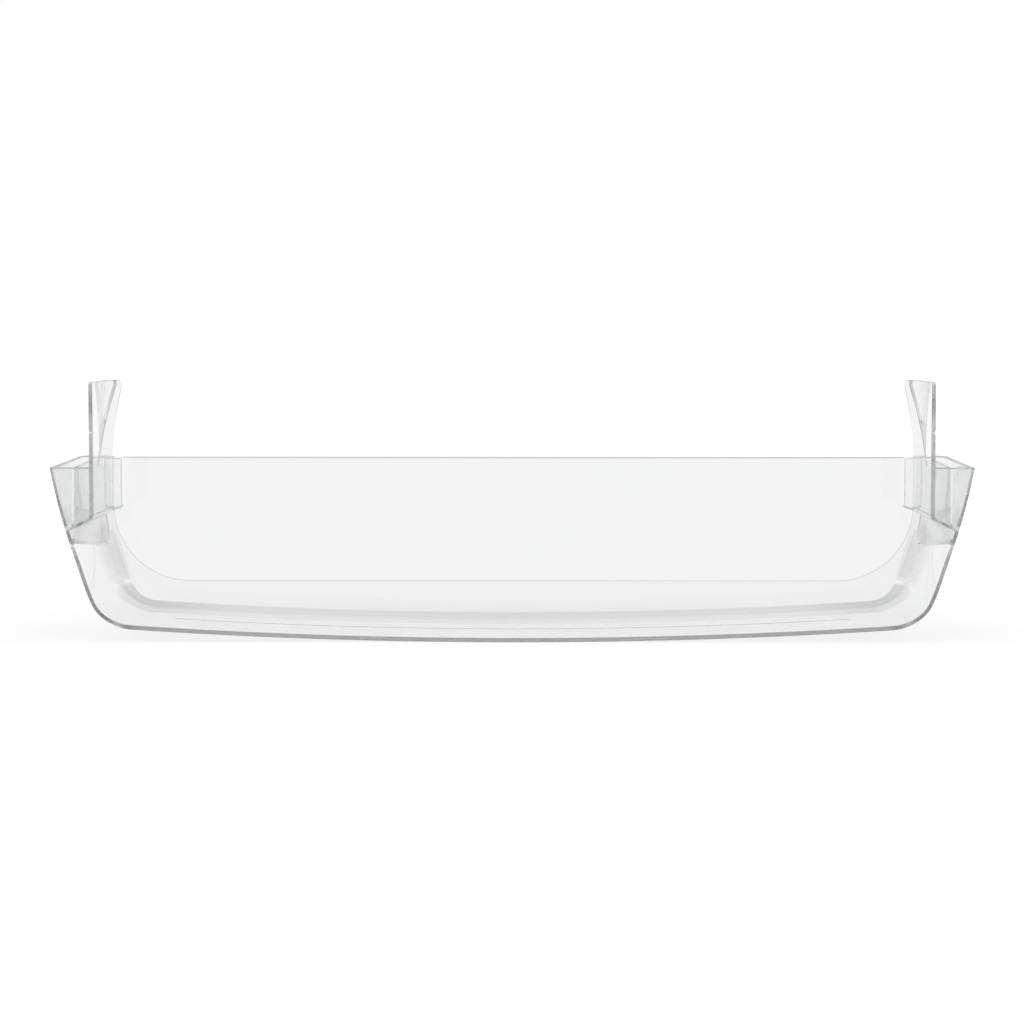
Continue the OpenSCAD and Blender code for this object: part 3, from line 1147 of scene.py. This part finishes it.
# Clear plastic: how strongly it bends light, what it takes out of light inside it, its slow
# waviness from the mould, and how much duller or clearer its surface is from place to place
PLASTIC_IOR = 1.57
INSIDE_COLOUR = (0.58, 0.6, 0.61, 1)
INSIDE_DENSITY = 1.5
FLOW_SCALE = 22.0
FLOW_DETAIL = 1.0
FLOW_STRENGTH = 0.02
DULL_SCALE = 60.0
DULL_DETAIL = 4.0
DULL_FROM = 0.35
DULL_TO = 0.65
DULL_LEAST = 0.75
DULL_MOST = 1.25


def clear_plastic():
    """Clear plastic with shade, and in places light, painted into its colour zone by zone. Its tight
    edges are a little duller than its faces.
    """
    mat = bpy.data.materials.new("clear_plastic")
    mat.use_nodes = True
    tree = mat.node_tree
    shader = tree.nodes["Principled BSDF"]
    # Painted shade and light: each face's attribute mixes the clear colour towards the darker edge
    # colour, or past the clear colour to a lighter one where it is above 1
    colour = tree.nodes.new("ShaderNodeMix")
    colour.data_type = "RGBA"
    colour.clamp_factor = False
    colour.inputs["A"].default_value = PAINTED_EDGE_SHADE
    colour.inputs["B"].default_value = CLEAR_COLOUR
    tree.links.new(attribute_node(tree, "painted_shading"), colour.inputs["Factor"])
    tree.links.new(colour.outputs["Result"], shader.inputs["Base Color"])
    place = tree.nodes.new("ShaderNodeTexCoord").outputs["Object"]
    wave = tree.nodes.new("ShaderNodeBump")
    wave.inputs["Strength"].default_value = FLOW_STRENGTH
    wave.inputs["Distance"].default_value = MM
    tree.links.new(noise_node(tree, place, FLOW_SCALE, FLOW_DETAIL), wave.inputs["Height"])
    tree.links.new(wave.outputs["Normal"], shader.inputs["Normal"])
    dull = noise_node(tree, place, DULL_SCALE, DULL_DETAIL)
    patch = ramp_node(tree, dull, DULL_FROM, DULL_TO, DULL_LEAST, DULL_MOST)
    rough = math_node(tree, "MULTIPLY", attribute_node(tree, "haze"), patch)
    tree.links.new(rough, shader.inputs["Roughness"])
    shader.inputs["IOR"].default_value = PLASTIC_IOR
    shader.inputs["Transmission Weight"].default_value = 1
    volume = tree.nodes.new("ShaderNodeVolumeAbsorption")
    volume.inputs["Color"].default_value = INSIDE_COLOUR
    volume.inputs["Density"].default_value = INSIDE_DENSITY
    tree.links.new(volume.outputs[0], tree.nodes["Material Output"].inputs["Volume"])
    return mat


shelf.data.materials.clear()
shelf.data.materials.append(clear_plastic())

# Room: white behind the shelf and through it, dimmer overhead, and dimmer on the camera's side
# in what the surfaces mirror. Matt surfaces get a plain level from all round.
ROOM_LEVEL = 0.75
CEILING = 0.4
CEILING_FROM = 0.35
CEILING_TO = 0.7
MIRRORED = 0.25
FRONT_FROM = -0.6
FRONT_TO = 0.2

# Light runs the length of a clear wall in many small reflections
LIGHT_BOUNCES = 256


def studio_world():
    """The white room, with the level that each kind of ray finds in it."""
    world = bpy.data.worlds.new("studio")
    bpy.context.scene.world = world
    world.use_nodes = True
    tree = world.node_tree
    background = tree.nodes["Background"]
    background.inputs["Color"].default_value = (1, 1, 1, 1)
    path = tree.nodes.new("ShaderNodeLightPath")
    through = path.outputs["Is Transmission Ray"]
    mirrored_ray = math_node(tree, "SUBTRACT", path.outputs["Is Glossy Ray"], through)
    spot = tree.nodes.new("ShaderNodeTexCoord")
    split = tree.nodes.new("ShaderNodeSeparateXYZ")
    tree.links.new(spot.outputs["Generated"], split.inputs[0])
    ceiling = ramp_node(tree, split.outputs["Z"], CEILING_FROM, CEILING_TO, 1.0, CEILING)
    in_front = ramp_node(tree, split.outputs["Y"], FRONT_FROM, FRONT_TO, MIRRORED, 1.0)
    mirrored_level = math_node(tree, "MULTIPLY", ceiling, in_front)
    level = ramp_node(tree, mirrored_ray, 0, 1, ROOM_LEVEL, mirrored_level, soft=False)
    level = ramp_node(tree, through, 0, 1, level, ceiling, soft=False)
    level = ramp_node(tree, path.outputs["Is Camera Ray"], 0, 1, level, 1.0, soft=False)
    tree.links.new(level, background.inputs["Strength"])


studio_world()
bpy.context.scene.view_settings.view_transform = "Standard"
bpy.context.scene.cycles.max_bounces = LIGHT_BOUNCES
bpy.context.scene.cycles.glossy_bounces = LIGHT_BOUNCES
bpy.context.scene.cycles.transmission_bounces = LIGHT_BOUNCES

# Floor: pale, with the shelf's own soft shadow. It is white where the camera sees it away from
# the shelf, and through the plastic it darkens a little towards the shelf with a painted shadow.
# Distances are in metres from the shelf's middle line, which takes up this share of the shelf's
# length.
FLOOR_HALF = 30.0
FLOOR_GREY = 0.25
FLOOR_GLOW = 0.79
LINE_SHARE = 0.8
GLOW_NEAR = 0.4
GLOW_FAR = 1.2
PAINTED_SHADOW_NEAR = 0.06
PAINTED_SHADOW_FAR = 0.17
PAINTED_SHADOW_LEVEL = 0.9
MIRROR_NEAR = -0.4
MIRROR_FAR = 0.3


def glow_node(tree, strength):
    node = tree.nodes.new("ShaderNodeEmission")
    tree.links.new(strength, node.inputs["Strength"])
    return node.outputs[0]


def mix_node(tree, share, first, second):
    node = tree.nodes.new("ShaderNodeMixShader")
    for value, socket in zip((share, first, second), node.inputs):
        tree.links.new(value, socket)
    return node.outputs[0]


def line_distance(tree, split):
    """Distance of a place on the floor from the shelf's middle line."""
    past = math_node(tree, "ABSOLUTE", split.outputs["X"])
    past = math_node(tree, "SUBTRACT", past, HALF_W * MM * LINE_SHARE)
    past = math_node(tree, "MAXIMUM", past, 0.0)
    across = math_node(tree, "MULTIPLY", split.outputs["Y"], split.outputs["Y"])
    reach = math_node(tree, "ADD", math_node(tree, "MULTIPLY", past, past), across)
    return math_node(tree, "SQRT", reach)


def floor_material():
    """Pale matt floor that fades into the white background away from the shelf, with a painted shadow
    near the shelf where the plastic looks through to it.
    """
    mat = bpy.data.materials.new("floor")
    mat.use_nodes = True
    tree = mat.node_tree
    tree.nodes.clear()
    out = tree.nodes.new("ShaderNodeOutputMaterial")
    place = tree.nodes.new("ShaderNodeNewGeometry")
    split = tree.nodes.new("ShaderNodeSeparateXYZ")
    tree.links.new(place.outputs["Position"], split.inputs[0])
    reach = line_distance(tree, split)
    path = tree.nodes.new("ShaderNodeLightPath")
    matt = tree.nodes.new("ShaderNodeBsdfDiffuse")
    matt.inputs["Color"].default_value = (FLOOR_GREY, FLOOR_GREY, FLOOR_GREY, 1)
    level = ramp_node(tree, reach, GLOW_NEAR, GLOW_FAR, FLOOR_GLOW, 1.0)
    seen = math_node(tree, "MULTIPLY", path.outputs["Is Camera Ray"], level)
    lit = tree.nodes.new("ShaderNodeAddShader")
    tree.links.new(matt.outputs[0], lit.inputs[0])
    tree.links.new(glow_node(tree, seen), lit.inputs[1])
    # Painted shadow: seen through the plastic, the floor glows a little less near the shelf
    painted_shadow = glow_node(tree, ramp_node(tree, reach, PAINTED_SHADOW_NEAR, PAINTED_SHADOW_FAR, PAINTED_SHADOW_LEVEL, 1.0))
    level = ramp_node(tree, split.outputs["Y"], MIRROR_NEAR, MIRROR_FAR, MIRRORED, 1.0)
    in_mirror = glow_node(tree, level)
    outside = mix_node(tree, path.outputs["Is Glossy Ray"], lit.outputs[0], in_mirror)
    final = mix_node(tree, path.outputs["Is Transmission Ray"], outside, painted_shadow)
    tree.links.new(final, out.inputs["Surface"])
    return mat


def studio_floor():
    mesh = bpy.data.meshes.new("floor")
    corners = [(x * FLOOR_HALF, y * FLOOR_HALF, 0) for x, y in ((-1, -1), (1, -1), (1, 1), (-1, 1))]
    mesh.from_pydata(corners, [], [(0, 1, 2, 3)])
    floor = bpy.data.objects.new("floor", mesh)
    bpy.context.scene.collection.objects.link(floor)
    mesh.materials.append(floor_material())


def softbox(name, place, aim, width, height, power):
    """A soft rectangular lamp that the camera doesn't see."""
    data = bpy.data.lights.new(name, "AREA")
    data.shape = "RECTANGLE"
    data.size = width
    data.size_y = height
    data.energy = power
    lamp = bpy.data.objects.new(name, data)
    bpy.context.scene.collection.objects.link(lamp)
    lamp.location = place
    lamp.rotation_euler = (Vector(aim) - Vector(place)).to_track_quat("-Z", "Y").to_euler()
    lamp.visible_camera = False


# Softboxes: name, place, aim, width, height and power
SOFTBOXES = (
    ("overhead", (0, -0.2, 1.5), (0, 0, 0.05), 1.4, 0.9, 2.5),
    ("left", (-1.3, -0.9, 0.9), (0, 0, 0.06), 0.5, 0.9, 1.5),
    ("right", (1.3, -0.9, 0.9), (0, 0, 0.06), 0.5, 0.9, 1.5),
)

studio_floor()
for box in SOFTBOXES:
    softbox(*box)

# Camera: its place in metres, and how far it looks down and to the side in degrees
CAMERA_LENS = 94.505
CAMERA_SENSOR = 36
CAMERA_NEAR = 0.05
CAMERA_FAR = 50
CAMERA_PLACE = (0.01139, -1.44045, 0.16131)
CAMERA_DOWN = 3.841
CAMERA_TURN = 0.461

camera_data = bpy.data.cameras.new("camera")
camera = bpy.data.objects.new("camera", camera_data)
bpy.context.scene.collection.objects.link(camera)
bpy.context.scene.camera = camera
camera_data.lens = CAMERA_LENS
camera_data.sensor_width = CAMERA_SENSOR
camera_data.clip_start = CAMERA_NEAR
camera_data.clip_end = CAMERA_FAR
camera.location = CAMERA_PLACE
camera.rotation_euler = (math.radians(90 - CAMERA_DOWN), 0, math.radians(CAMERA_TURN))
